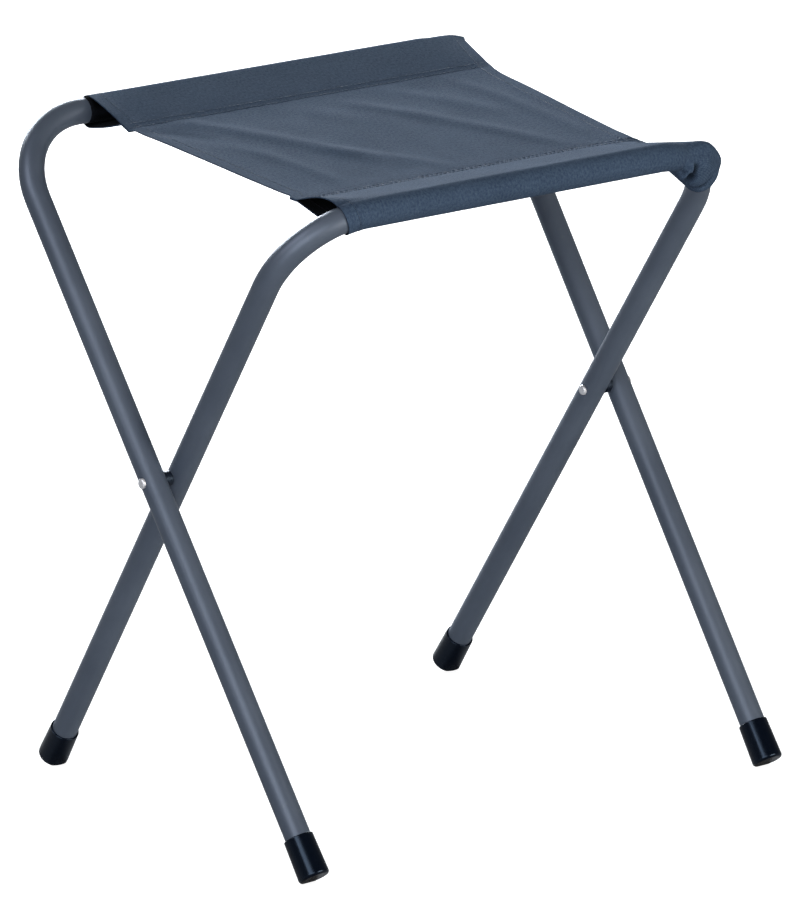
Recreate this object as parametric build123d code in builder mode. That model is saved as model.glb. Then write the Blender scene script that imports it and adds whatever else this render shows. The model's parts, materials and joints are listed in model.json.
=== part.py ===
from build123d import *
from math import sqrt
import os

# Folding camp stool: two crossed U frames of round steel tube, riveted together where
# their legs cross, with a woven sling sewn round the two top bars.
#
# Millimetres. The origin is on the ground, midway between the feet. X runs along the
# bars, -Y is the front, +Z is up. The outer frame has the back bar and the front feet,
# the inner frame has the front bar and the back feet.

# ---- Driving dimensions -------------------------------------------------------------

tube_radius = 8.5
tube_wall = 1.2
bend_radius = 53.5  # of the tube's centreline at each top corner

back_bar_height = 440.4  # of the bar's axis above the ground
front_bar_height = 416.1
bar_spacing = 283.1  # front to back, between the bars' axes
foot_spacing = 325.1  # front to back, between the centres of the legs' ends
foot_height = 4.2  # of the centre of a leg's end above the ground

outer_bar_width = 383.5  # between the outer frame's leg axes, where they meet the bar's axis
outer_foot_width = 367.7  # between the same axes at the feet
inner_bar_width = 339.7
inner_foot_width = 327.2

cap_length = 28.0
cap_top_radius = 9.7
cap_end_radius = 10.3
cap_end_wall = 3.0
cap_end_rounding = 2.0
cap_rim_rounding = 0.6
socket_clearance = 0.05

rivet_radius = 2.3
rivet_head_radius = 3.5
rivet_head_height = 1.9
rivet_clearance = 0.05
rivet_recess_depth = 0.8
rivet_recess_radius = 4.0
spacer_radius = 5.0
side_clearance = 0.15  # between the parts stacked along a rivet

cloth = 0.7
sleeve_clearance = 0.06  # between a bar and the sleeve that turns on it
back_seam = 53.0  # from the back bar's axis to its sleeve's seam
front_seam = 46.0
seam_radius = 1.6  # of the folded cloth at a sleeve's seam
sling_left = 133.0  # from the middle of the stool to the sling's left edge
sling_right_at_back = 167.0  # to its right edge, which slants
sling_right_at_front = 126.0
back_sleeve_span = (-129.0, 136.0)  # along X, on the straight of the back bar
front_sleeve_span = (-114.0, 114.0)
ear_start = 24.0  # from the back bar's axis to the cloth past its sleeve's right end
front_flap = 120.0  # from the front bar's axis to the opening across the sling
sling_opening = 8.0

# ---- Reference geometry -------------------------------------------------------------

back_bar = Vector(0, bar_spacing / 2, back_bar_height)
front_bar = Vector(0, -bar_spacing / 2, front_bar_height)
outer_foot = Vector(0, -foot_spacing / 2, foot_height)
inner_foot = Vector(0, foot_spacing / 2, foot_height)

outer_leg = back_bar - outer_foot
inner_leg = front_bar - inner_foot

# The legs cross, seen along X, where both frames have the same Y and Z.
crossing = foot_spacing / (outer_leg.Y / outer_leg.Z - inner_leg.Y / inner_leg.Z)
pivot_y = outer_foot.Y + crossing * outer_leg.Y / outer_leg.Z
pivot_z = foot_height + crossing
outer_splay = (outer_bar_width - outer_foot_width) / 2  # of one leg, over its whole height
inner_splay = (inner_bar_width - inner_foot_width) / 2
outer_leg_x = outer_foot_width / 2 + outer_splay * crossing / outer_leg.Z
inner_leg_x = inner_foot_width / 2 + inner_splay * crossing / inner_leg.Z

across_seat = (front_bar - back_bar).normalized()
seat_depth = (front_bar - back_bar).length
seat_normal = Vector(1, 0, 0).cross(across_seat) * -1
back_flap = seat_depth - front_flap - sling_opening


def frame_plane(foot, leg):
    """The plane of a U frame: its X along the bar, its Y up the legs."""
    return Plane(origin=foot, x_dir=(1, 0, 0), z_dir=Vector(1, 0, 0).cross(leg))


def foot_plane(foot, leg, foot_width, splay):
    """The plane across the end of a left leg, facing up along the leg."""
    leg_end = Vector(-foot_width / 2, foot.Y, foot.Z)
    return Plane(origin=leg_end, x_dir=(1, 0, 0), z_dir=(-splay, leg.Y, leg.Z))


def pivot_plane(x):
    """A plane across the rivets' axis, facing +X."""
    return Plane(origin=(x, pivot_y, pivot_z), x_dir=(0, 1, 0), z_dir=(1, 0, 0))


def right_edge(from_back):
    """The sling's right edge, at a distance from the back bar's axis."""
    slant = (sling_right_at_front - sling_right_at_back) / seat_depth
    return sling_right_at_back + slant * from_back


# ---- Frames -------------------------------------------------------------------------


def bent_tube(foot, leg, bar_width, foot_width, head_seat, away):
    """A U of round tube, drilled through both legs for the rivets.

    Each rivet head sits in a shallow round recess, whose floor is head_seat from the
    middle. The recess opens away from the middle (1) or towards it (-1).
    """
    leg_start = cap_end_wall + side_clearance
    with BuildPart() as tube:
        with BuildLine(frame_plane(foot, leg)) as path:
            FilletPolyline(
                (-foot_width / 2, leg_start),
                (-bar_width / 2, leg.length),
                (bar_width / 2, leg.length),
                (foot_width / 2, leg_start),
                radius=bend_radius,
            )
        with BuildSketch(Plane(origin=path.line @ 0, z_dir=path.line % 0)):
            Circle(tube_radius)
            Circle(tube_radius - tube_wall, mode=Mode.SUBTRACT)
        sweep()
        with BuildSketch(pivot_plane(0)):
            Circle(rivet_radius + rivet_clearance)
        extrude(amount=bar_width, both=True, mode=Mode.SUBTRACT)
        for side in (-1, 1):
            with BuildSketch(pivot_plane(side * head_seat)):
                Circle(rivet_recess_radius)
            extrude(amount=side * away * tube_radius, mode=Mode.SUBTRACT)
    return tube


outer_head_seat = outer_leg_x + tube_radius - rivet_recess_depth
inner_head_seat = inner_leg_x - tube_radius + rivet_recess_depth

outer_frame_tube = bent_tube(
    outer_foot, outer_leg, outer_bar_width, outer_foot_width, outer_head_seat, 1
)
inner_frame_tube = bent_tube(
    inner_foot, inner_leg, inner_bar_width, inner_foot_width, inner_head_seat, -1
)

# ---- Foot caps ----------------------------------------------------------------------


def foot_cap(leg_end):
    """A moulded cap over a leg's end, worn flat where it stands on the ground."""
    low = (Align.CENTER, Align.CENTER, Align.MIN)
    with BuildPart(leg_end) as cap:
        Cone(cap_end_radius, cap_top_radius, cap_length, align=low)
        fillet(cap.faces().sort_by(Axis.Z)[0].edges(), cap_end_rounding)
        fillet(cap.faces().sort_by(Axis.Z)[-1].edges(), cap_rim_rounding)
        with Locations((0, 0, cap_end_wall)):
            Cylinder(tube_radius + socket_clearance, cap_length, align=low, mode=Mode.SUBTRACT)
        split(bisect_by=Plane.XY, keep=Keep.TOP)
    return cap


foot_cap_outer_left = foot_cap(foot_plane(outer_foot, outer_leg, outer_foot_width, outer_splay))
foot_cap_inner_left = foot_cap(foot_plane(inner_foot, inner_leg, inner_foot_width, inner_splay))

with BuildPart() as foot_cap_outer_right:
    mirror(foot_cap_outer_left.part, about=Plane.YZ)

with BuildPart() as foot_cap_inner_right:
    mirror(foot_cap_inner_left.part, about=Plane.YZ)

# ---- Pivots -------------------------------------------------------------------------

rivet_inner_end = inner_head_seat - side_clearance
rivet_outer_end = outer_head_seat + side_clearance
spacer_start = inner_leg_x + tube_radius + side_clearance
saddle_radius = tube_radius + side_clearance
saddle_depth = saddle_radius - sqrt(saddle_radius**2 - spacer_radius**2)
spacer_end = outer_leg_x - saddle_radius + saddle_depth


with BuildPart() as pivot_rivet_right:
    with BuildSketch(pivot_plane(rivet_inner_end)):
        Circle(rivet_radius)
    extrude(amount=rivet_outer_end - rivet_inner_end)
    with BuildSketch(pivot_plane(rivet_inner_end)):
        Circle(rivet_head_radius)
    extrude(amount=-rivet_head_height)
    with BuildSketch(pivot_plane(rivet_outer_end)):
        Circle(rivet_head_radius)
    extrude(amount=rivet_head_height)
    rims = pivot_rivet_right.edges().filter_by(GeomType.CIRCLE).sort_by(Axis.X)
    fillet([rims[0], rims[-1]], rivet_head_height * 0.8)

with BuildPart() as pivot_rivet_left:
    mirror(pivot_rivet_right.part, about=Plane.YZ)

# The spacer keeps the tubes apart: flat against the inner leg, which turns on it, and
# hollowed to the round of the outer leg.
saddle_axis = Plane(
    origin=(outer_leg_x, pivot_y, pivot_z),
    x_dir=(1, 0, 0),
    z_dir=(outer_splay, outer_leg.Y, outer_leg.Z),
)

with BuildPart() as pivot_spacer_right:
    with BuildSketch(pivot_plane(spacer_start)):
        Circle(spacer_radius)
        Circle(rivet_radius + rivet_clearance, mode=Mode.SUBTRACT)
    extrude(amount=spacer_end - spacer_start)
    with BuildSketch(saddle_axis):
        Circle(saddle_radius)
    extrude(amount=tube_radius * 2, both=True, mode=Mode.SUBTRACT)

with BuildPart() as pivot_spacer_left:
    mirror(pivot_spacer_right.part, about=Plane.YZ)

# ---- Sling --------------------------------------------------------------------------


def sleeve(bar, inward, seam, span):
    """A loop of cloth round a bar, drawn together at the seam into a teardrop."""
    start, end = span
    start_plane = Plane(origin=(start, bar.Y, bar.Z), x_dir=inward, z_dir=(1, 0, 0))
    with BuildPart() as loop:
        with BuildSketch(start_plane):
            Circle(tube_radius + sleeve_clearance + cloth)
            with Locations((seam, 0)):
                Circle(seam_radius)
            make_hull()
            offset(amount=-cloth, mode=Mode.SUBTRACT)
        extrude(amount=end - start)
    return loop.part


back_sleeve = sleeve(back_bar, across_seat, back_seam, back_sleeve_span)
front_sleeve = sleeve(front_bar, across_seat * -1, front_seam, front_sleeve_span)
seat_plane = Plane(origin=back_bar, x_dir=across_seat, z_dir=seat_normal)

with BuildPart() as sling_back:
    add(back_sleeve)
    with BuildSketch(seat_plane):
        Polygon(
            (back_seam, -sling_left),
            (back_flap, -sling_left),
            (back_flap, right_edge(back_flap)),
            (ear_start, right_edge(ear_start)),
            (ear_start, back_sleeve_span[1]),
            (back_seam, back_sleeve_span[1]),
            align=None,
        )
    extrude(amount=cloth / 2, both=True)

with BuildPart() as sling_front:
    add(front_sleeve)
    with BuildSketch(seat_plane):
        Polygon(
            (seat_depth - front_flap, -sling_left),
            (seat_depth - front_seam, -sling_left),
            (seat_depth - front_seam, right_edge(seat_depth - front_seam)),
            (seat_depth - front_flap, right_edge(seat_depth - front_flap)),
            align=None,
        )
    extrude(amount=cloth / 2, both=True)

# ---- Export -------------------------------------------------------------------------

pieces = {
    "outer_frame_tube": outer_frame_tube,
    "inner_frame_tube": inner_frame_tube,
    "foot_cap_outer_left": foot_cap_outer_left,
    "foot_cap_outer_right": foot_cap_outer_right,
    "foot_cap_inner_left": foot_cap_inner_left,
    "foot_cap_inner_right": foot_cap_inner_right,
    "pivot_rivet_left": pivot_rivet_left,
    "pivot_rivet_right": pivot_rivet_right,
    "pivot_spacer_left": pivot_spacer_left,
    "pivot_spacer_right": pivot_spacer_right,
    "sling_back": sling_back,
    "sling_front": sling_front,
}

os.makedirs("parts", exist_ok=True)
for name, piece in pieces.items():
    piece.part.label = name
    export_step(piece.part, f"parts/{name}.step")
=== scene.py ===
import json
import math

import bpy
import numpy as np
from mathutils import Matrix, Vector, noise


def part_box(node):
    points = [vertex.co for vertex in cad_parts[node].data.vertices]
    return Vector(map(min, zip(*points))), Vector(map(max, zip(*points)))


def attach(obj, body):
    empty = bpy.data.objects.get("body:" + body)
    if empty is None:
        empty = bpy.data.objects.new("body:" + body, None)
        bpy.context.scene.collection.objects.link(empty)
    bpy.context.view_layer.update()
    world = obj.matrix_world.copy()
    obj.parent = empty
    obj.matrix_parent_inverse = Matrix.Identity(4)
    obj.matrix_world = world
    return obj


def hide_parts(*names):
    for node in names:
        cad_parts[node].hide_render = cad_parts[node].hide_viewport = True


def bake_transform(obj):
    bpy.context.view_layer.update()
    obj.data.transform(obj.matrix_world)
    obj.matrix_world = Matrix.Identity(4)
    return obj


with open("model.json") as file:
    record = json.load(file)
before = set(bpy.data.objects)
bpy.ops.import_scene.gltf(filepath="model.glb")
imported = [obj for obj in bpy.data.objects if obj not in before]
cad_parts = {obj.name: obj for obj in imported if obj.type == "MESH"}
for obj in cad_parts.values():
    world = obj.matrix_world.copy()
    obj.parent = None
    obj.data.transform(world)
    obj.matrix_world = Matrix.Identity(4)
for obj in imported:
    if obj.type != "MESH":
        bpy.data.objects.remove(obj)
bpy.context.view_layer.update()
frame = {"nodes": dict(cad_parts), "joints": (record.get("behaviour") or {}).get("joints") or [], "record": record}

# A folding camp stool. Metres, in the frame's own axes: X along the seat bars, -Y the
# front, +Z up. The tubes, caps, rivets and spacers are the frame's own nodes with
# materials. Built here are the sling, as one sheet of cloth that wraps both bars, its rows
# of stitches and a thin black wrap round each bar, which is painted shade inside its sleeve.

MM = 0.001

# ---- Places read from the frame -----------------------------------------------------

joints = {j["name"]: j for j in frame["joints"]}
pivot = Vector(joints["fold"]["pos_m"])
back_bar = Vector(joints["back_sleeve_turn"]["pos_m"])
front_bar = Vector(joints["front_sleeve_turn"]["pos_m"])
tube_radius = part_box("outer_frame_tube")[1].z - back_bar.z

across = (front_bar - back_bar).normalized()
seat_up = Vector((0, across.z, -across.y))
seat_depth = (front_bar - back_bar).length

# ---- The sling's dimensions ---------------------------------------------------------

CLOTH = 0.5 * MM
SHADE_WRAP = 0.2 * MM  # thickness of the black wrap round each bar inside its sleeve, painted shade on the bar there
CLOTH_GAP = 0.05 * MM  # between layers that lie on each other
BEND_RADIUS = 53.5 * MM  # of the tubes' top corners, along their centreline
HEM = 11 * MM
HEM_RISE = 0.3 * MM
LAYER = CLOTH + HEM_RISE + CLOTH_GAP  # from the seat down to the seam allowance under it
EDGE_LEFT = -131 * MM
EDGE_RIGHT_BACK = 157 * MM
EDGE_RIGHT_FRONT = 133 * MM
EDGE_FROM_BAR = 53 * MM  # where the two right-hand places are, from the bars' axes
SEAM_STITCHES = (1.5 * MM, 7 * MM)  # from where the sleeve comes down to the seat, towards the bar
SLEEVE_STEP = 3 * MM  # how far the sleeves' left ends stick out past the seat
SLEEVE_STEP_LENGTH = 2.5 * MM  # the stretch of the left edge that takes this step
EDGE_FLARE = 2 * MM  # how far the right edge swings out next to the back bar
EDGE_FLARE_LENGTH = 10 * MM  # how fast that fades towards the front
SLEEVE_SLACK = 0.08 * MM  # how unevenly the sleeve lies on the black shade wrap round its bar
SLEEVE_CROWN = 0.35 * MM  # how far its top layer bows up between bar and seat
UNDERSIDE_BOW = 0.8 * MM  # how far its lower layer sags there
DROOP_LENGTH = 28 * MM  # how fast the droop of a sleeve's left end fades
BILLOW_LENGTH = 14 * MM  # how fast the billow of its top layer fades
LEFT_SHADE_WRAP_BACK = -132 * MM  # the black shade wraps' left ends along the bars
LEFT_SHADE_WRAP_FRONT = -115 * MM
RIGHT_SHADE_WRAP = 112 * MM
SEAT_RIPPLE = 0.35 * MM  # narrow waves that run from bar to bar
SEAT_SLACK = 0.7 * MM  # wide waves in the seat
SEAT_SAG = 0.3 * MM  # how far it lies below the plane through both bars' axes
SEAM_PUCKER = 0.2 * MM
SEAM_PUCKER_REACH = 8 * MM
HEM_STEP = 0.6 * MM  # over which a hem's inner edge rises
GROOVE = 0.16 * MM  # how deep the stitches draw the cloth in
GROOVE_WIDTH = 0.9 * MM
HEM_STITCHES = 8.5 * MM  # from the cloth's edge
STITCH_LENGTH = 2.7 * MM
STITCH_PITCH = 3.5 * MM
STITCH_RADIUS = 0.3 * MM
STITCH_LIFT = 0.02 * MM  # of a stitch's axis above the plain cloth's face
STITCH_MARGIN = 3 * MM  # from the end of a row of stitches to the cloth's edge

# Soft drag lines in the seat, in mm: from (x, t) to (x, t), then height and half width.
# t runs from the back bar's axis towards the front bar's. Each bows sideways by DRAG_BOW.
DRAG_BOW = 4
DRAG_LINES = (
    ((-108, 30), (-28, 215), 1.3, 9),
    ((-98, 120), (-88, 225), 0.9, 7),
    ((20, 70), (88, 232), 1.3, 9),
    ((117, 60), (114, 220), 1.0, 8),
    ((-55, 150), (-5, 235), 0.8, 8),
    ((60, 60), (100, 150), 0.8, 10),
    ((-128, 60), (-100, 110), -0.8, 8),
    ((-20, 60), (10, 130), 0.6, 12),
)

# Creases where the sleeve gathers on the inner side of a bend: the place along the bend
# in mm and round the tube in degrees from the bend's inner side, how far the crease slants
# per degree, its half width in mm, its reach in degrees and its share of the full depth.
CREASES = (
    (27, 68, -0.06, 4.4, 20, 1.0),
    (25, 99, -0.05, 1.9, 16, 0.9),
    (18.5, 78, 0.0, 1.6, 10, 0.8),
    (42, 64, 0.06, 1.6, 36, 0.4),
    (50, 50, 0.05, 1.4, 30, 0.35),
)


class Bar:
    """A top bar, and where the sling's sleeve lies on it.

    The loose cloth stands off the outer side of the right-hand bend: it starts to lift at
    one length past the straight part of the bar, is fully off at the next, starts to come
    back at the third and reaches the sleeve's end with the share "kept" of its height."""

    def __init__(
        self,
        centre,
        inward,
        meet,
        crest,
        ease,
        late,
        seam,
        straight,
        ends,
        bulge,
        lift,
        kept,
        folds,
        droop,
        billow,
    ):
        self.centre = centre
        self.inward = inward  # the direction from this bar to the other one
        self.meet = meet  # where the sleeve's two layers meet, from the bar's axis
        self.crest = crest  # where its top layer comes down to the seat
        self.ease = ease  # how softly it does: 1 for a plain slope, more for a curve
        self.late = late  # how late it spreads to the sleeve's length: 1 for evenly. The
        # layer below spreads as early as this one is late.
        self.seam = seam  # where the seam allowance ends
        self.down_leg = (pivot - centre).normalized()
        self.leg_normal = Vector((1, 0, 0)).cross(self.down_leg)
        self.straight = straight  # half the length of the bar's straight part
        self.ends = ends  # the sleeve's two ends, as lengths along the bar
        self.bulge = bulge  # how far the loose cloth stands off the right-hand bend
        self.lift = lift  # the three lengths named above
        self.kept = kept
        self.folds = folds  # height of the gathers on the inner side of the bend
        self.droop = droop  # how far the sleeve's left end hangs below the bar
        self.billow = billow  # how far its top layer bows up at the left end

    def point(self, along, offset):
        """The place of a cross-section point, offset from the bar's axis, along the bar."""
        side = 1 if along >= 0 else -1
        turn = max(0.0, abs(along) - self.straight) / BEND_RADIUS
        x = min(abs(along), self.straight) + BEND_RADIUS * math.sin(turn)
        drop = BEND_RADIUS * (1 - math.cos(turn))
        outward, sideways = -offset.dot(self.down_leg), offset.dot(self.leg_normal)
        if side > 0:
            swell = 1 + self.gather(along, math.atan2(-sideways, -outward)) / offset.length
            outward, sideways = outward * swell, sideways * swell
            outward += self.stand_off(along) * max(0.0, outward) / tube_radius
        x += outward * math.sin(turn)
        fall = drop - outward * math.cos(turn)
        place = Vector((side * x, self.centre.y, self.centre.z))
        return place + self.down_leg * fall + self.leg_normal * sideways

    def stand_off(self, along):
        """How far the loose cloth stands off the outer side of the right-hand bend."""
        past = along - self.straight
        start, full, back = self.lift
        rise = smooth((past - start) / (full - start))
        span = self.ends[1] - self.straight
        return self.bulge * rise * (1 - (1 - self.kept) * smooth((past - back) / (span - back)))

    def gather(self, along, round_tube):
        """How far the bunched cloth stands off the tube, on the inner side of the bend."""
        past = along - self.straight
        share = past / (self.ends[1] - self.straight)
        angle = math.degrees(round_tube) % 360
        # Fullest 60 to 75 degrees round from the bend's inner side.
        along_bend = smooth((share - 0.27) / 0.12) * smooth((1 - share) / 0.18)
        round_bend = smooth((145 - angle) / 70) * (0.1 + 0.9 * smooth((angle - 26) / 34))
        loose = along_bend * round_bend
        if loose == 0:
            return 0.0
        left = 1.0
        for place, centre, slant, width, reach, depth in CREASES:
            aside = (past / MM - place - slant * (angle - centre)) / width
            left *= 1 - depth * math.exp(-(aside**4) - ((angle - centre) / reach) ** 4)
        return self.folds * loose * left


def smooth(t):
    """0 up to t = 0, 1 from t = 1, and a soft S between them."""
    t = min(1.0, max(0.0, t))
    return t * t * (3 - 2 * t)


BACK = Bar(
    back_bar,
    across,
    meet=43.5 * MM,
    crest=53 * MM,
    ease=1.06,
    late=1.0,
    seam=54.5 * MM,
    straight=137.4 * MM,
    ends=(-129 * MM, 169 * MM),
    bulge=7.8 * MM,
    lift=(6 * MM, 36 * MM, 36 * MM),
    kept=1.0,
    folds=1.2 * MM,
    droop=2.6 * MM,
    billow=1.4 * MM,
)
FRONT = Bar(
    front_bar,
    -across,
    meet=46 * MM,
    crest=47 * MM,
    ease=1.2,
    late=1.2,
    seam=53.5 * MM,
    straight=115.7 * MM,
    ends=(-132.3 * MM, 175.5 * MM),
    bulge=8.2 * MM,
    lift=(18 * MM, 35 * MM, 49 * MM),
    kept=0.2,
    folds=6 * MM,
    droop=0.3 * MM,
    billow=4.5 * MM,
)


def edge_left(t):
    """The sling's left edge at a distance t from the back bar's axis."""
    past_seam = min(t - BACK.seam, seat_depth - t - FRONT.seam)
    return EDGE_LEFT - SLEEVE_STEP * (1 - smooth(past_seam / SLEEVE_STEP_LENGTH))


def edge_right(t):
    """The right edge slants, because the sling has slipped along the back bar."""
    share = (t - EDGE_FROM_BAR) / (seat_depth - 2 * EDGE_FROM_BAR)
    flare = EDGE_FLARE * math.exp(-max(0.0, t - EDGE_FROM_BAR) / EDGE_FLARE_LENGTH)
    return EDGE_RIGHT_BACK + (EDGE_RIGHT_FRONT - EDGE_RIGHT_BACK) * share + flare


# ---- Helpers ------------------------------------------------------------------------


def new_object(name, vertices, faces):
    mesh = bpy.data.meshes.new(name)
    mesh.from_pydata([tuple(v) for v in vertices], [], faces)
    mesh.update()
    mesh.polygons.foreach_set("use_smooth", [True] * len(mesh.polygons))
    obj = bpy.data.objects.new(name, mesh)
    bpy.context.scene.collection.objects.link(obj)
    return obj


def lay_flat(obj, places):
    """Store where each vertex lies on the flat cloth, for the weave to follow."""
    uv = obj.data.uv_layers.new(name="cloth")
    for loop in obj.data.loops:
        uv.data[loop.index].uv = places[loop.vertex_index]


# ---- Sling --------------------------------------------------------------------------


def drag_line(x, t, start, end, height, width):
    """A soft ridge from start to end that fades out at both, or a groove if height is
    negative."""
    line = Vector(end) - Vector(start)
    rel = Vector((x / MM, t / MM)) - Vector(start)
    share = rel.dot(line) / line.length_squared
    aside = (rel.x * line.y - rel.y * line.x) / line.length
    bow = DRAG_BOW * math.sin(math.pi * share)
    fade_length, fade_start = 0.35, 0.3
    fade = smooth(share / fade_length + fade_start)
    fade *= smooth((1 - share) / fade_length + fade_start)
    return height * MM * fade * math.exp(-(((aside - bow) / width) ** 2))


def ripple(x, t):
    """Height of the seat's slack, drag lines and the small puckers along the seams."""
    share = (t - BACK.crest) / (seat_depth - BACK.crest - FRONT.crest)
    inside = min(1.0, max(0.0, share))
    fade = smooth(inside / 0.12) * smooth((1 - inside) / 0.12)
    fine = noise.noise(Vector(((x + 0.3 * t) / (16 * MM), t / (95 * MM), 9.1)))
    slack = noise.noise(Vector((x / (110 * MM), t / (90 * MM), 5.3)))
    soft = fade * (SEAT_RIPPLE * fine + SEAT_SLACK * slack - SEAT_SAG)
    lines = sum(drag_line(x, t, *line) for line in DRAG_LINES)
    pucker_back = math.exp(-abs(t - BACK.seam) / SEAM_PUCKER_REACH)
    pucker_front = math.exp(-abs(seat_depth - FRONT.seam - t) / SEAM_PUCKER_REACH)
    pucker = noise.noise(Vector((x / (6 * MM), 0.4, 1.9))) * (pucker_back + pucker_front)
    return soft + lines * smooth(inside / 0.1 + 0.4) + SEAM_PUCKER * pucker


def seat_point(x, t, below=0.0):
    """A place on the seat, or on a layer that lies below it."""
    return back_bar + Vector((x, 0, 0)) + across * t + seat_up * (ripple(x, t) - below)


def sleeve_rows(bar, columns):
    """The cloth round one bar, in rows, from the end of its seam allowance below the seat
    to its crest on top of it."""
    wrap = tube_radius + SHADE_WRAP + 2 * CLOTH_GAP + CLOTH / 2
    tangent = math.acos(wrap / bar.crest)
    left, right = bar.ends
    on_bar = [left + (right - left) * u for u in columns]
    from_left = [a - left for a in on_bar]
    is_back = bar is BACK

    def seat_row(to_bar, below):
        t = to_bar if is_back else seat_depth - to_bar
        lo, hi = edge_left(t), edge_right(t)
        return [seat_point(lo + (hi - lo) * u, t, below) for u in columns]

    def ring_row(angle):
        row = []
        radial = bar.inward * math.cos(angle) + seat_up * math.sin(angle)
        for a, d in zip(on_bar, from_left):
            uneven = noise.noise(Vector((a / (16 * MM), angle * 1.3, bar.droop)))
            loose = SLEEVE_SLACK * (1 + uneven)
            hang = bar.droop * max(0.0, -math.sin(angle)) * math.exp(-d / DROOP_LENGTH)
            row.append(bar.point(a, radial * (wrap + loose + hang)))
        return row

    def spread(seat_side, bar_side, share, late):
        """Part of the way from the seat's width to the sleeve's length on the bar."""
        place = seat_side.lerp(bar_side, share)
        place.x = seat_side.x + (bar_side.x - seat_side.x) * share**late
        return place

    upper_ring, lower_ring = ring_row(tangent), ring_row(-tangent)
    upper_crest = seat_row(bar.crest, 0)

    def upper_row(share):
        """The top layer, share 0 at the bar and 1 at its crest."""
        row = []
        for a, b, u, d in zip(upper_ring, upper_crest, columns, from_left):
            wave = noise.noise(Vector((u * 9, share * 1.5, 7.7 + bar.droop)))
            bow = bar.billow * math.exp(-d / BILLOW_LENGTH) * math.sin(math.pi * share**0.75)
            crown = SLEEVE_CROWN * (0.5 + wave) * math.sin(math.pi * share)
            sink = (a - b).dot(seat_up) * ((1 - share) - (1 - share) ** bar.ease)
            row.append(spread(b, a, 1 - share, bar.late) + seat_up * (bow + crown - sink))
        return row

    def lowered(row, depth):
        return [p - seat_up * depth for p in row]

    def lower_row(joined, share):
        """The lower layer, share 0 where it meets the top one and 1 at the bar."""
        sag = seat_up * (UNDERSIDE_BOW * math.sin(math.pi * share))
        return [spread(a, b, share, 1 / bar.late) - sag for a, b in zip(joined, lower_ring)]

    meet = bar.meet / bar.crest
    rows = [seat_row(to_bar, LAYER) for to_bar in (bar.seam, (bar.seam + bar.crest) / 2)]
    rows += [lowered(upper_row(share), LAYER) for share in np.linspace(1, meet, 6)]
    joined = rows[-1]
    rows += [lower_row(joined, share) for share in np.linspace(0, 1, 13)[1:-1]]
    rows += [ring_row(angle) for angle in np.linspace(-tangent, tangent - 2 * math.pi, 32)]
    rows += [upper_row(share) for share in np.linspace(0, 1, 28)[1:-1]]
    return rows


def cloth_columns():
    """Places across the cloth, 0 to 1, closer together at the hems and over the folds."""
    width = 300 * MM  # roughly, of the cloth
    edge = [0, 0.35, 0.9, 2, 4.5, 7, 8, 9, 10, 10.7, 11.3, 12.2, 14]  # mm from its edge
    near = [d * MM / width for d in edge]
    folds = 0.8  # about where the folds over the right-hand bends begin
    middle = list(np.linspace(near[-1], folds, 76)[:-1])
    middle += list(np.linspace(folds, 1 - near[-1], 62))
    return near[:-1] + middle + [1 - d for d in reversed(near[:-1])]


class Sheet:
    """The cloth's middle surface, as rows of points from hem to hem across the stool."""

    def __init__(self, rows):
        self.points = np.array([[tuple(p) for p in row] for row in rows])
        self.n_rows, self.n_cols = self.points.shape[:2]
        normals = np.cross(np.gradient(self.points, axis=1), np.gradient(self.points, axis=0))
        normals /= np.linalg.norm(normals, axis=2)[:, :, None]
        middle = normals[self.n_rows // 2, self.n_cols // 2]
        self.normals = normals if middle @ np.array(seat_up) > 0 else -normals
        widths = np.linalg.norm(np.diff(self.points, axis=1), axis=2)
        start = np.zeros((self.n_rows, 1))
        self.from_left = np.concatenate([start, np.cumsum(widths, axis=1)], axis=1)
        self.from_right = self.from_left[:, -1:] - self.from_left
        lengths = np.linalg.norm(np.diff(self.points, axis=0), axis=2).mean(axis=1)
        self.from_start = np.concatenate([[0], np.cumsum(lengths)])

    def thickness(self):
        """How far each face of the cloth is from the middle surface: raised at the hems,
        and drawn in a little along the stitches."""
        to_edge = np.minimum(self.from_left, self.from_right)
        step = np.clip((HEM - to_edge) / HEM_STEP + 0.5, 0, 1)
        groove = np.exp(-(((to_edge - HEM_STITCHES) / GROOVE_WIDTH) ** 2))
        for distance in self.seam_distances():
            groove += np.exp(-(((self.from_start - distance) / GROOVE_WIDTH) ** 2))[:, None]
        rise = HEM_RISE * step * step * (3 - 2 * step)
        return CLOTH / 2 + rise / 2 - GROOVE * np.minimum(groove, 1)

    def seam_distances(self):
        """Distances from the cloth's start of the rows of stitches along the two seams."""
        back, front = self.seat_start, self.seat_end
        return [back - d for d in SEAM_STITCHES] + [front + d for d in SEAM_STITCHES]

    def mark_seat(self, first_row, last_row):
        """Note where the seat starts and ends, between the two sleeves."""
        self.seat_start = self.from_start[first_row]
        self.seat_end = self.from_start[last_row]

    def place(self, distance, aside):
        """The point and the normal at a distance from the start and one aside, which is from
        the left, or from the right if it is negative."""
        row = np.clip(np.searchsorted(self.from_start, distance) - 1, 0, self.n_rows - 2)
        span = self.from_start[row + 1] - self.from_start[row]
        share = (distance - self.from_start[row]) / span
        out = []
        for table in (self.points, self.normals):
            ends = []
            for r in (row, row + 1):
                reach = aside if aside >= 0 else self.from_left[r, -1] + aside
                ends.append([np.interp(reach, self.from_left[r], table[r, :, k]) for k in range(3)])
            out.append(Vector(ends[0]).lerp(Vector(ends[1]), share))
        return out[0], out[1].normalized()


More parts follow.
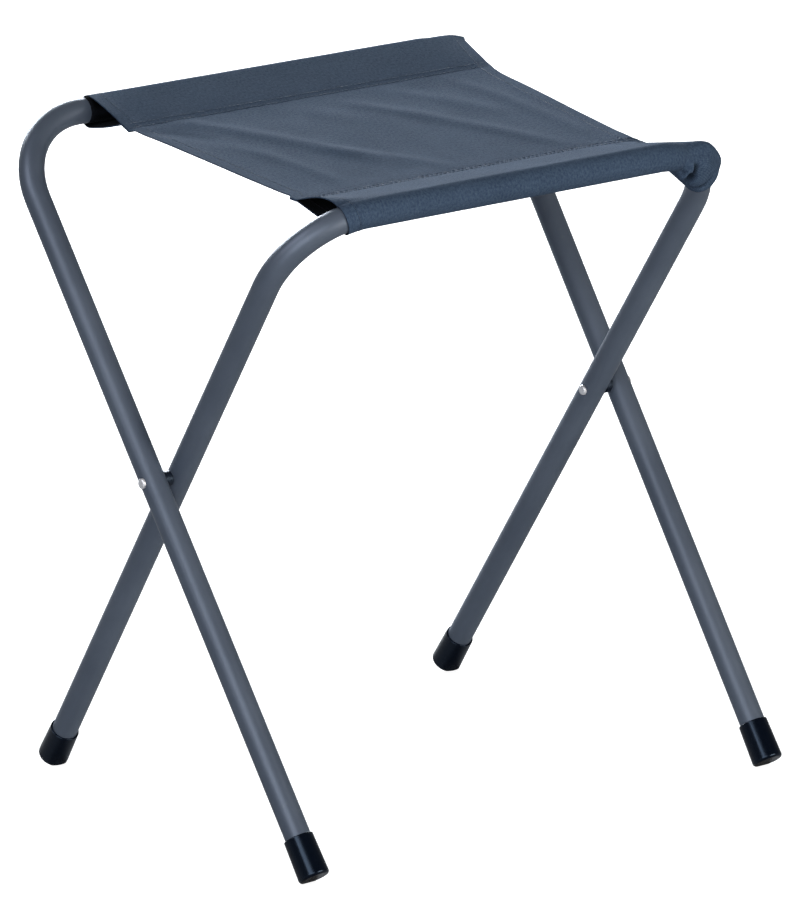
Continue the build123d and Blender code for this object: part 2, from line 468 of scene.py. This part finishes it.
def build_sheet():
    """The whole cloth: the sleeve round the back bar, the seat, the sleeve round the front."""
    columns = cloth_columns()
    rows = sleeve_rows(BACK, columns)
    first = len(rows)
    step = 0.8  # mm between rows at the seams
    back_edge = list(BACK.crest + np.arange(0, 6) * step * MM)
    front_edge = [seat_depth - FRONT.seam + k * step * MM for k in range(-4, 9)]
    open_seat = list(np.linspace(back_edge[-1], front_edge[0], 95)[1:-1])
    for t in back_edge + open_seat + front_edge:
        lo, hi = edge_left(t), edge_right(t)
        rows.append([seat_point(lo + (hi - lo) * u, t) for u in columns])
    last = len(rows) - 1
    rows += list(reversed(sleeve_rows(FRONT, columns)))
    sheet = Sheet(rows)
    sheet.mark_seat(first, last)
    return sheet


def build_sling(sheet):
    """The cloth: both faces of the sheet, closed round its border."""
    n_rows, n_cols = sheet.n_rows, sheet.n_cols
    offset = sheet.normals * sheet.thickness()[:, :, None]
    outer, inner = sheet.points + offset, sheet.points - offset
    vertices = np.concatenate([outer.reshape(-1, 3), inner.reshape(-1, 3)])
    under = n_rows * n_cols

    def at(i, j):
        return i * n_cols + j

    faces, slots = [], []
    for i in range(n_rows - 1):
        for j in range(n_cols - 1):
            quad = (at(i, j), at(i, j + 1), at(i + 1, j + 1), at(i + 1, j))
            faces.append(quad)
            faces.append(tuple(under + q for q in reversed(quad)))
            slots += [0, 1]
    border = [at(0, j) for j in range(n_cols)]
    border += [at(i, n_cols - 1) for i in range(1, n_rows)]
    border += [at(n_rows - 1, j) for j in range(n_cols - 2, -1, -1)]
    border += [at(i, 0) for i in range(n_rows - 2, 0, -1)]
    for k, a in enumerate(border):
        b = border[(k + 1) % len(border)]
        faces.append((b, a, under + a, under + b))
        slots.append(0)

    sling = new_object("sling_cloth", vertices, faces)
    sling.data.polygons.foreach_set("material_index", slots)
    from_centre = sheet.from_left + sheet.points[:, :1, 0]
    grid = [(from_centre[i, j], sheet.from_start[i]) for i in range(n_rows) for j in range(n_cols)]
    lay_flat(sling, grid + grid)
    return sling


def build_shade_wrap(name, bar, start, end):
    """A thin black tube of cloth round a bar's straight part, under its sleeve, painted shade
    on the bar inside the sleeve. On the back bar it shows a little at the sleeve's left end."""
    sides, step = 64, 4 * MM
    rings = round((end - start) / step) + 1
    inner = tube_radius + CLOTH_GAP
    vertices, flat, faces = [], [], []
    for radius in (inner + SHADE_WRAP, inner):
        for x in np.linspace(start, end, rings):
            for k in range(sides):
                angle = 2 * math.pi * k / sides
                radial = bar.inward * math.cos(angle) + seat_up * math.sin(angle)
                vertices.append(bar.point(x, radial * radius))
                flat.append((x, angle * radius))
    under = rings * sides
    for k in range(sides):
        a, b = k, (k + 1) % sides
        for ring in range(rings - 1):
            base = ring * sides
            quad = (base + a, base + a + sides, base + b + sides, base + b)
            faces.append(quad)
            faces.append(tuple(under + q for q in reversed(quad)))
        last = under - sides
        faces.append((a, b, under + b, under + a))
        faces.append((last + b, last + a, last + under + a, last + under + b))
    shade_wrap = new_object(name, vertices, faces)
    lay_flat(shade_wrap, flat)
    return shade_wrap


def stitch_shape():
    """One stitch: a short thread, round across and tapered to a point at both ends."""
    sides, rings = 6, 5
    vertices = [(-0.5, 0, 0)]
    for k in range(1, rings):
        angle = math.pi * k / rings
        for m in range(sides):
            turn = 2 * math.pi * m / sides
            radius = math.sin(angle) ** 0.6
            vertices.append((-0.5 * math.cos(angle), radius * math.cos(turn), radius * math.sin(turn)))
    vertices.append((0.5, 0, 0))
    faces = [(0, 1 + (m + 1) % sides, 1 + m) for m in range(sides)]
    for k in range(rings - 2):
        for m in range(sides):
            a, b = 1 + k * sides + m, 1 + k * sides + (m + 1) % sides
            faces.append((a, b, b + sides, a + sides))
    last = 1 + (rings - 2) * sides
    faces += [(last + m, last + (m + 1) % sides, last + sides) for m in range(sides)]
    return vertices, faces


def build_stitching(sheet):
    """Rows of stitches along both seams and both hems, on both faces of the cloth: dyed
    thread on the outer face and black thread on the inner one."""
    shape_vertices, shape_faces = stitch_shape()
    vertices, faces, slots = [], [], []

    def add_stitch(distance, aside, heading, side):
        point, normal = sheet.place(distance, aside)
        ahead, _ = sheet.place(distance + heading[0], aside + heading[1])
        along = (ahead - point).normalized()
        across_it = normal.cross(along).normalized()
        normal = along.cross(across_it) * side
        height = CLOTH / 2 + STITCH_LIFT
        base = len(vertices)
        for x, y, z in shape_vertices:
            offset = along * (x * STITCH_LENGTH) + across_it * (y * STITCH_RADIUS)
            vertices.append(point + offset + normal * (height + z * STITCH_RADIUS))
        faces.extend(tuple(base + i for i in face) for face in shape_faces)
        slots.extend([0 if side > 0 else 1] * len(shape_faces))

    nudge = 0.5 * MM  # a short step along the row, to find a stitch's direction
    for distance in sheet.seam_distances():
        width = np.interp(distance, sheet.from_start, sheet.from_left[:, -1])
        for aside in np.arange(STITCH_MARGIN, width - STITCH_MARGIN, STITCH_PITCH):
            for side in (1, -1):
                add_stitch(distance, aside, (0, nudge), side)
    end = sheet.from_start[-1] - STITCH_MARGIN
    for distance in np.arange(STITCH_MARGIN, end, STITCH_PITCH):
        for aside in (HEM_STITCHES, -HEM_STITCHES):
            for side in (1, -1):
                add_stitch(distance, aside, (nudge, 0), side)
    stitching = new_object("sling_stitching", vertices, faces)
    stitching.data.polygons.foreach_set("material_index", slots)
    return stitching


# ---- Materials ----------------------------------------------------------------------

BLACK_CLOTH = ((0.004, 0.005, 0.007, 1), (0.009, 0.011, 0.015, 1))  # dark and light; on the cloth's inner face partly a coated backing's own colour and partly painted shade inside the sleeves
BLACK_SHINE = (0.5, 0.7, 1.0, 1)  # the tint of highlights on black rubber and plastic


class Shader:
    """A node material, built one node at a time."""

    def __init__(self, name):
        self.material = bpy.data.materials.new(name)
        self.material.use_nodes = True
        self.nodes = self.material.node_tree.nodes
        self.links = self.material.node_tree.links
        self.surface = self.nodes["Principled BSDF"]

    def add(self, kind, inputs=None, **settings):
        node = self.nodes.new(kind)
        for key, value in settings.items():
            setattr(node, key, value)
        for key, value in (inputs or {}).items():
            self.put(node, key, value)
        return node

    def put(self, node, key, value):
        if isinstance(value, bpy.types.NodeSocket):
            self.links.new(value, node.inputs[key])
        else:
            node.inputs[key].default_value = value

    def math(self, operation, a, b=0.0):
        return self.add("ShaderNodeMath", {0: a, 1: b}, operation=operation).outputs[0]

    def mix(self, share, a, b):
        node = self.add("ShaderNodeMix", data_type="RGBA")
        for key, value in ((0, share), (6, a), (7, b)):
            self.put(node, key, value)
        return node.outputs[2]

    def ramp(self, value, low, high, to_low=0.0, to_high=1.0):
        inputs = {
            "Value": value,
            "From Min": low,
            "From Max": high,
            "To Min": to_low,
            "To Max": to_high,
        }
        return self.add("ShaderNodeMapRange", inputs).outputs["Result"]

    def noise(self, vector, scale, detail=3.0, roughness=0.5):
        inputs = {"Vector": vector, "Scale": scale, "Detail": detail, "Roughness": roughness}
        return self.add("ShaderNodeTexNoise", inputs).outputs["Fac"]

    def bump(self, height, strength, distance, under=None):
        inputs = {"Height": height, "Strength": strength, "Distance": distance}
        if under is not None:
            inputs["Normal"] = under
        return self.add("ShaderNodeBump", inputs).outputs["Normal"]

    def position(self):
        return self.add("ShaderNodeTexCoord").outputs["Object"]


def cloth_material(name, dark, light, sheen, roughness):
    """Plain-woven polyester: two crossing sets of threads, with uneven slubs and dye, painted
    shade down between the threads and painted shade in its deep hollows and folds."""
    s = Shader(name)
    uv = s.add("ShaderNodeTexCoord").outputs["UV"]
    split = s.add("ShaderNodeSeparateXYZ", {0: uv})
    pitch = 0.85 * MM
    u = s.math("MULTIPLY", split.outputs[0], math.pi / pitch)
    v = s.math("MULTIPLY", split.outputs[1], math.pi / pitch)
    warp = s.math("ABSOLUTE", s.math("SINE", u))
    weft = s.math("ABSOLUTE", s.math("SINE", v))
    over = s.math("MULTIPLY", s.math("COSINE", u), s.math("COSINE", v))
    warp_on_top = s.math("GREATER_THAN", over, 0.0)
    height = s.add("ShaderNodeMix", data_type="FLOAT")
    s.put(height, 0, warp_on_top)
    s.put(height, 2, weft)
    s.put(height, 3, warp)
    thread = height.outputs[0]

    stretched_u = s.add("ShaderNodeMapping", {"Vector": uv, "Scale": (900, 60, 1)}).outputs[0]
    stretched_v = s.add("ShaderNodeMapping", {"Vector": uv, "Scale": (60, 900, 1)}).outputs[0]
    slub_u = s.noise(stretched_u, 1.0, 2.0)
    slub_v = s.noise(stretched_v, 1.0, 2.0)
    slub = s.math("MULTIPLY", s.math("ADD", slub_u, slub_v), 0.5)
    cloud = s.noise(uv, 22.0, 4.0, 0.6)
    flecks = s.add("ShaderNodeMapping", {"Vector": uv, "Scale": (640, 430, 1)}).outputs[0]
    heather = s.noise(flecks, 1.0, 2.0, 0.7)
    tone = s.math("ADD", s.math("MULTIPLY", slub, 0.15), s.math("MULTIPLY", cloud, 0.2))
    tone = s.math("ADD", tone, s.math("MULTIPLY", heather, 0.65))
    tone = s.ramp(tone, 0.36, 0.64)
    color = s.mix(tone, dark, light)
    # Painted shade: the colour darkens down between the threads and brightens on their tops.
    shade = s.ramp(thread, 0.0, 0.9, 0.62, 1.08)
    woven = s.add("ShaderNodeVectorMath", {0: color, 1: shade}, operation="MULTIPLY").outputs[0]
    # Painted shade: ambient occlusion darkens the colour in the folds, creases and seams and round the stitches.
    reach, strength = 9 * MM, 2.5
    open_air = s.add("ShaderNodeAmbientOcclusion", {"Distance": reach}, samples=6).outputs["AO"]
    hollow_shade = s.math("POWER", open_air, strength)
    shaded = s.add("ShaderNodeVectorMath", {0: woven, 1: hollow_shade}, operation="MULTIPLY").outputs[0]
    s.put(s.surface, "Base Color", shaded)
    s.put(s.surface, "Roughness", s.ramp(slub, 0.3, 0.7, roughness - 0.06, roughness + 0.06))
    s.put(s.surface, "Sheen Weight", sheen)
    s.put(s.surface, "Sheen Roughness", 0.45)
    s.put(s.surface, "Sheen Tint", (0.62, 0.74, 0.86, 1))
    s.put(s.surface, "Specular IOR Level", 0.03)
    relief = s.math("ADD", thread, s.math("MULTIPLY", slub, 0.5))
    fine = s.bump(relief, 0.5, 0.12 * MM)
    s.put(s.surface, "Normal", s.bump(s.noise(uv, 95.0, 3.0), 0.12, 0.6 * MM, fine))
    return s.material


def paint_material():
    """Slate grey powder coat on steel: a fine orange peel, a few rubs and specks."""
    s = Shader("frame_paint")
    place = s.position()
    peel = s.noise(place, 900.0, 2.0)
    cloud = s.noise(place, 14.0, 3.0)
    speck = s.ramp(s.noise(place, 2600.0, 1.0), 0.72, 0.78)
    dark, light = (0.106, 0.134, 0.184, 1), (0.131, 0.163, 0.218, 1)
    base = s.mix(s.ramp(cloud, 0.35, 0.65), dark, light)
    base = s.mix(s.math("MULTIPLY", speck, 0.35), base, (0.2, 0.22, 0.24, 1))
    lengthwise = s.add("ShaderNodeMapping", {"Vector": place, "Scale": (260, 260, 45)}).outputs[0]
    rub = s.ramp(s.noise(lengthwise, 1.0, 4.0, 0.7), 0.62, 0.74)
    s.put(s.surface, "Base Color", s.mix(s.math("MULTIPLY", rub, 0.3), base, (0.17, 0.185, 0.2, 1)))
    s.put(s.surface, "Metallic", 0.3)
    s.put(s.surface, "Roughness", s.ramp(cloud, 0.3, 0.7, 0.4, 0.48))
    s.put(s.surface, "Specular IOR Level", 0.35)
    s.put(s.surface, "Normal", s.bump(peel, 0.22, 0.05 * MM))
    return s.material


def rubber_material():
    """Black moulded rubber, a little shiny, scuffed near the ground."""
    s = Shader("cap_rubber")
    place = s.position()
    height = s.add("ShaderNodeSeparateXYZ", {0: place}).outputs[2]
    grain = s.noise(place, 1100.0, 3.0)
    scuff = s.noise(place, 240.0, 5.0, 0.7)
    low = s.ramp(height, 0.0, 9 * MM, 1.0, 0.0)
    worn = s.math("MULTIPLY", low, s.ramp(scuff, 0.45, 0.62))
    clean, scuffed = (0.0015, 0.003, 0.0075, 1), (0.009, 0.012, 0.018, 1)
    s.put(s.surface, "Base Color", s.mix(worn, clean, scuffed))
    polish = s.ramp(scuff, 0.3, 0.7, 0.16, 0.24)
    s.put(s.surface, "Roughness", s.math("ADD", polish, s.math("MULTIPLY", worn, 0.2)))
    s.put(s.surface, "Specular IOR Level", 0.42)
    s.put(s.surface, "Specular Tint", BLACK_SHINE)
    s.put(s.surface, "Normal", s.bump(grain, 0.16, 0.05 * MM))
    return s.material


def rivet_material():
    """Bright zinc on steel, turned by the setting tool."""
    s = Shader("rivet_steel")
    place = s.position()
    from_pivot = s.add("ShaderNodeVectorMath", {0: place, 1: tuple(pivot)}, operation="SUBTRACT")
    offset = from_pivot.outputs[0]
    flat = s.add("ShaderNodeVectorMath", {0: offset, 1: (0, 1, 1)}, operation="MULTIPLY").outputs[0]
    radius = s.add("ShaderNodeVectorMath", {0: flat}, operation="LENGTH").outputs["Value"]
    rings = s.math("SINE", s.math("MULTIPLY", radius, 14000.0))
    tarnish = s.noise(place, 700.0, 4.0)
    bright, dull = (0.93, 0.94, 0.97, 1), (0.84, 0.86, 0.92, 1)
    s.put(s.surface, "Base Color", s.mix(s.ramp(tarnish, 0.4, 0.7), bright, dull))
    s.put(s.surface, "Metallic", 0.55)
    s.put(s.surface, "Roughness", s.ramp(tarnish, 0.3, 0.7, 0.36, 0.48))
    s.put(s.surface, "Normal", s.bump(rings, 0.04, 0.02 * MM))
    return s.material


def spacer_material():
    """Black nylon, matt and slightly grained."""
    s = Shader("spacer_plastic")
    place = s.position()
    grain = s.noise(place, 1500.0, 3.0)
    dark, light = (0.003, 0.0045, 0.009, 1), (0.007, 0.010, 0.017, 1)
    s.put(s.surface, "Base Color", s.mix(grain, dark, light))
    s.put(s.surface, "Roughness", s.ramp(grain, 0.3, 0.7, 0.38, 0.52))
    s.put(s.surface, "Specular Tint", BLACK_SHINE)
    s.put(s.surface, "Normal", s.bump(grain, 0.2, 0.04 * MM))
    return s.material


def thread_material(name, dark, light):
    """Twisted polyester sewing thread."""
    s = Shader(name)
    place = s.position()
    twist = s.noise(place, 2600.0, 2.0)
    s.put(s.surface, "Base Color", s.mix(twist, dark, light))
    s.put(s.surface, "Roughness", 0.62)
    s.put(s.surface, "Specular IOR Level", 0.15)
    s.put(s.surface, "Normal", s.bump(twist, 0.5, 0.08 * MM))
    return s.material


def floor_material():
    """Pale matt paper that runs out to plain white away from the stool, clear from below."""
    s = Shader("floor")
    place = s.position()
    dark, light = (0.25, 0.25, 0.255, 1), (0.27, 0.27, 0.27, 1)
    s.put(s.surface, "Base Color", s.mix(s.noise(place, 3.0), dark, light))
    s.put(s.surface, "Roughness", 0.7)
    s.put(s.surface, "Specular IOR Level", 0.2)
    distance = s.add("ShaderNodeVectorMath", {0: place}, operation="LENGTH").outputs["Value"]
    seen = s.add("ShaderNodeLightPath").outputs["Is Camera Ray"]
    near, far = 0.3, 1.2  # metres from the middle of the stool
    glow_near, glow_far = 0.93, 1.2
    glow = s.math("MULTIPLY", s.ramp(distance, near, far, glow_near, glow_far), seen)
    s.put(s.surface, "Emission Color", (1, 1, 1, 1))
    s.put(s.surface, "Emission Strength", glow)
    below = s.add("ShaderNodeNewGeometry").outputs["Backfacing"]
    clear = s.add("ShaderNodeBsdfTransparent").outputs[0]
    either = s.add("ShaderNodeMixShader", {0: below, 1: s.surface.outputs[0], 2: clear}).outputs[0]
    s.links.new(either, s.nodes["Material Output"].inputs["Surface"])
    return s.material


# ---- Stage --------------------------------------------------------------------------

AIM = (-36.095, 15.303, -1.611)  # azimuth, elevation and roll in degrees
AIM_AT = Vector((0, 0, 0.1726))
AIM_FROM = 4.378  # metres
LENS = 263.6  # mm
SENSOR = 36
SHIFT = (0.0120, 0.0633)


def add_camera():
    """A long lens, a little above and to the left of the stool, tilted very slightly."""
    data = bpy.data.cameras.new("camera")
    camera = bpy.data.objects.new("camera", data)
    bpy.context.scene.collection.objects.link(camera)
    azimuth, elevation, roll = (math.radians(a) for a in AIM)
    back = Vector(
        (
            math.sin(azimuth) * math.cos(elevation),
            -math.cos(azimuth) * math.cos(elevation),
            math.sin(elevation),
        )
    )
    right = (-back).cross(Vector((0, 0, 1))).normalized()
    up = right.cross(-back)
    turned_right = right * math.cos(roll) + up * math.sin(roll)
    turned_up = up * math.cos(roll) - right * math.sin(roll)
    rotation = Matrix((turned_right, turned_up, back)).transposed()
    camera.matrix_world = Matrix.Translation(AIM_AT + back * AIM_FROM) @ rotation.to_4x4()
    data.lens = LENS
    data.sensor_width = SENSOR
    data.shift_x, data.shift_y = SHIFT
    data.clip_end = 100
    bpy.context.scene.camera = camera


def add_area_light(name, place, aim, size, power, color, shine_only=False):
    """One that is shine_only adds highlights and lights no matt surface."""
    data = bpy.data.lights.new(name, "AREA")
    data.shape = "RECTANGLE"
    data.size, data.size_y = size
    data.energy = power
    data.color = color
    light = bpy.data.objects.new(name, data)
    bpy.context.scene.collection.objects.link(light)
    light.visible_diffuse = not shine_only
    light.location = place
    light.rotation_euler = (Vector(aim) - Vector(place)).to_track_quat("-Z", "Y").to_euler()


def add_floor():
    ring = 96
    radius = 40.0
    vertices = [(0, 0, 0)]
    for k in range(ring):
        angle = 2 * math.pi * k / ring
        vertices.append((radius * math.cos(angle), radius * math.sin(angle), 0))
    faces = [(0, k + 1, (k + 1) % ring + 1) for k in range(ring)]
    floor = new_object("floor", vertices, faces)
    floor.data.materials.append(floor_material())


def add_lights():
    target = (0, 0, 0.25)
    high_left, pale_violet = (-1.8, 0.1, 1.9), (0.97, 0.95, 1.0)
    add_area_light("streak", high_left, target, (1.2, 1.2), 16, pale_violet, shine_only=True)
    add_area_light("rim", (1.2, 2.7, 1.35), target, (2.4, 1.0), 186, (0.9, 0.95, 1.0))
    add_area_light("key", (-1.8, -1.6, 1.0), target, (1.8, 1.4), 31, (0.98, 0.98, 1.0))
    add_area_light("fill", (0.9, -2.6, 0.5), target, (1.6, 1.4), 47, (1.0, 0.94, 0.85))


def add_world():
    """Near white to the camera; as light, dim in front of the stool, brighter behind it."""
    world = bpy.data.worlds.new("world")
    bpy.context.scene.world = world
    world.use_nodes = True
    nodes, links = world.node_tree.nodes, world.node_tree.links
    direction = nodes.new("ShaderNodeTexCoord")
    split = nodes.new("ShaderNodeSeparateXYZ")
    links.new(direction.outputs["Generated"], split.inputs[0])
    level = nodes.new("ShaderNodeMapRange")
    links.new(split.outputs[1], level.inputs["Value"])
    front_to_back = {"From Min": -0.6, "From Max": 0.7, "To Min": 0.06, "To Max": 0.25}
    for key, value in front_to_back.items():
        level.inputs[key].default_value = value
    seen = nodes.new("ShaderNodeLightPath")
    strength = nodes.new("ShaderNodeMix")
    links.new(seen.outputs["Is Camera Ray"], strength.inputs[0])
    links.new(level.outputs[0], strength.inputs[2])
    strength.inputs[3].default_value = 1.0
    background = nodes["Background"]
    background.inputs["Color"].default_value = (0.97, 0.98, 1.0, 1)
    links.new(strength.outputs[0], background.inputs["Strength"])


# ---- Assembly -----------------------------------------------------------------------


def paint_nodes():
    """Give the frame's own nodes their materials, by the record's slots."""
    by_slot = {
        "frame_paint": paint_material(),
        "cap_rubber": rubber_material(),
        "rivet_steel": rivet_material(),
        "spacer_plastic": spacer_material(),
    }
    for part in frame["record"]["subparts"]:
        if part["material_slot"] in by_slot:
            mesh = frame["nodes"][part["node"]].data
            mesh.materials.clear()
            mesh.materials.append(by_slot[part["material_slot"]])


sheet = build_sheet()
sling = build_sling(sheet)
sling.data.materials.append(
    cloth_material("sling_cloth", (0.041, 0.066, 0.113, 1), (0.076, 0.117, 0.187, 1), 0.02, 0.9)
)
# The cloth's inner face: a dark coated backing, made near black as painted shade inside the sleeves and under the
# seat.
backing_and_shade = cloth_material("sling_backing_and_shade", *BLACK_CLOTH, 0.03, 0.75)
sling.data.materials.append(backing_and_shade)
stitching = build_stitching(sheet)
stitching.data.materials.append(
    thread_material("sewing_thread", (0.05, 0.078, 0.128, 1), (0.082, 0.122, 0.19, 1))
)
stitching.data.materials.append(thread_material("bobbin_thread", *BLACK_CLOTH))
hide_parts("sling_back", "sling_front")
for piece in (sling, stitching):
    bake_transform(piece)
# Black wraps round the bars: painted shade on the bars inside the sleeves.
shade_wraps = (
    ("sling_shade_wrap_back", "back_sling", BACK, LEFT_SHADE_WRAP_BACK),
    ("sling_shade_wrap_front", "front_sling", FRONT, LEFT_SHADE_WRAP_FRONT),
)
for name, body, bar, start in shade_wraps:
    shade_wrap = build_shade_wrap(name, bar, start, RIGHT_SHADE_WRAP)
    shade_wrap.data.materials.append(backing_and_shade)
    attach(shade_wrap, body)

paint_nodes()
add_floor()
add_world()
add_lights()
add_camera()
bpy.context.scene.view_settings.view_transform = "Standard"
